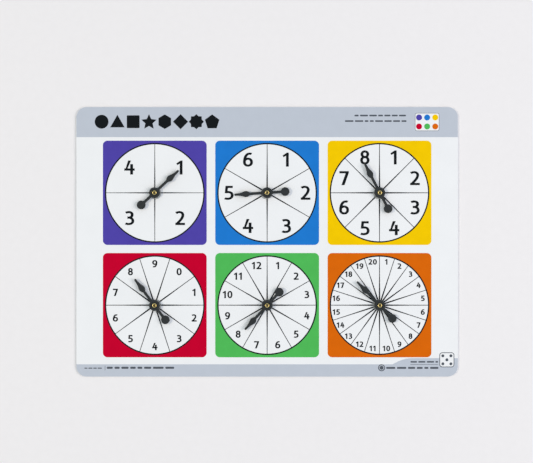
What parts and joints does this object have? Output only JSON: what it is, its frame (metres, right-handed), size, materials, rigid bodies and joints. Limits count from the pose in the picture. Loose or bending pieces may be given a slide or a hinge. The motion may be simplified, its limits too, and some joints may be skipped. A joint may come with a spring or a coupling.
{
  "type": "game spinner",
  "caption": "Flat rectangular board with printed number dials, each with a moulded pointer that spins freely on a hollow brass eyelet, used in place of dice.",
  "frame": {"origin": "centre of the board's outline, on the plane that the eyelets' back flanges rest on", "axes": "+X along the board's long side, +Y towards its top edge, +Z out of the printed face"},
  "size_m": [0.297, 0.21, 0.0047],
  "materials": {
    "board_plastic": "satin white sheet, printed",
    "pointer_plastic": "moulded, fine texture",
    "eyelet_brass": "bright, slightly tarnished",
    "washer_nylon": "natural translucent nylon",
    "washer_steel": "zinc plated"
  },
  "bodies": {
    "board": {"board": "board_plastic", "purple_eyelet": "eyelet_brass", "purple_back_washer": "washer_steel", "blue_eyelet": "eyelet_brass", "blue_back_washer": "washer_steel", "yellow_eyelet": "eyelet_brass", "yellow_back_washer": "washer_steel", "red_eyelet": "eyelet_brass", "red_back_washer": "washer_steel", "green_eyelet": "eyelet_brass", "green_back_washer": "washer_steel", "orange_eyelet": "eyelet_brass", "orange_back_washer": "washer_steel"},
    "purple_spinner": {"purple_pointer": "pointer_plastic"},
    "purple_washer": {"purple_glide_washer": "washer_nylon"},
    "blue_spinner": {"blue_pointer": "pointer_plastic"},
    "blue_washer": {"blue_glide_washer": "washer_nylon"},
    "yellow_spinner": {"yellow_pointer": "pointer_plastic"},
    "yellow_washer": {"yellow_glide_washer": "washer_nylon"},
    "red_spinner": {"red_pointer": "pointer_plastic"},
    "red_washer": {"red_glide_washer": "washer_nylon"},
    "green_spinner": {"green_pointer": "pointer_plastic"},
    "green_washer": {"green_glide_washer": "washer_nylon"},
    "orange_spinner": {"orange_pointer": "pointer_plastic"},
    "orange_washer": {"orange_glide_washer": "washer_nylon"}
  },
  "joints": [
    {"name": "purple_pointer_spin", "type": "hinge", "parent": "board", "child": "purple_spinner", "pos_m": [-0.0874, 0.0381, 0.0021], "axis": [0, 0, 1], "continuous": true},
    {"name": "purple_washer_turn", "type": "hinge", "parent": "board", "child": "purple_washer", "pos_m": [-0.0874, 0.0381, 0.0016], "axis": [0, 0, 1], "continuous": true},
    {"name": "blue_pointer_spin", "type": "hinge", "parent": "board", "child": "blue_spinner", "pos_m": [0, 0.0381, 0.0021], "axis": [0, 0, 1], "continuous": true},
    {"name": "blue_washer_turn", "type": "hinge", "parent": "board", "child": "blue_washer", "pos_m": [0, 0.0381, 0.0016], "axis": [0, 0, 1], "continuous": true},
    {"name": "yellow_pointer_spin", "type": "hinge", "parent": "board", "child": "yellow_spinner", "pos_m": [0.0874, 0.0381, 0.0021], "axis": [0, 0, 1], "continuous": true},
    {"name": "yellow_washer_turn", "type": "hinge", "parent": "board", "child": "yellow_washer", "pos_m": [0.0874, 0.0381, 0.0016], "axis": [0, 0, 1], "continuous": true},
    {"name": "red_pointer_spin", "type": "hinge", "parent": "board", "child": "red_spinner", "pos_m": [-0.0874, -0.0493, 0.0021], "axis": [0, 0, 1], "continuous": true},
    {"name": "red_washer_turn", "type": "hinge", "parent": "board", "child": "red_washer", "pos_m": [-0.0874, -0.0493, 0.0016], "axis": [0, 0, 1], "continuous": true},
    {"name": "green_pointer_spin", "type": "hinge", "parent": "board", "child": "green_spinner", "pos_m": [0, -0.0493, 0.0021], "axis": [0, 0, 1], "continuous": true},
    {"name": "green_washer_turn", "type": "hinge", "parent": "board", "child": "green_washer", "pos_m": [0, -0.0493, 0.0016], "axis": [0, 0, 1], "continuous": true},
    {"name": "orange_pointer_spin", "type": "hinge", "parent": "board", "child": "orange_spinner", "pos_m": [0.0874, -0.0493, 0.0021], "axis": [0, 0, 1], "continuous": true},
    {"name": "orange_washer_turn", "type": "hinge", "parent": "board", "child": "orange_washer", "pos_m": [0.0874, -0.0493, 0.0016], "axis": [0, 0, 1], "continuous": true}
  ]
}
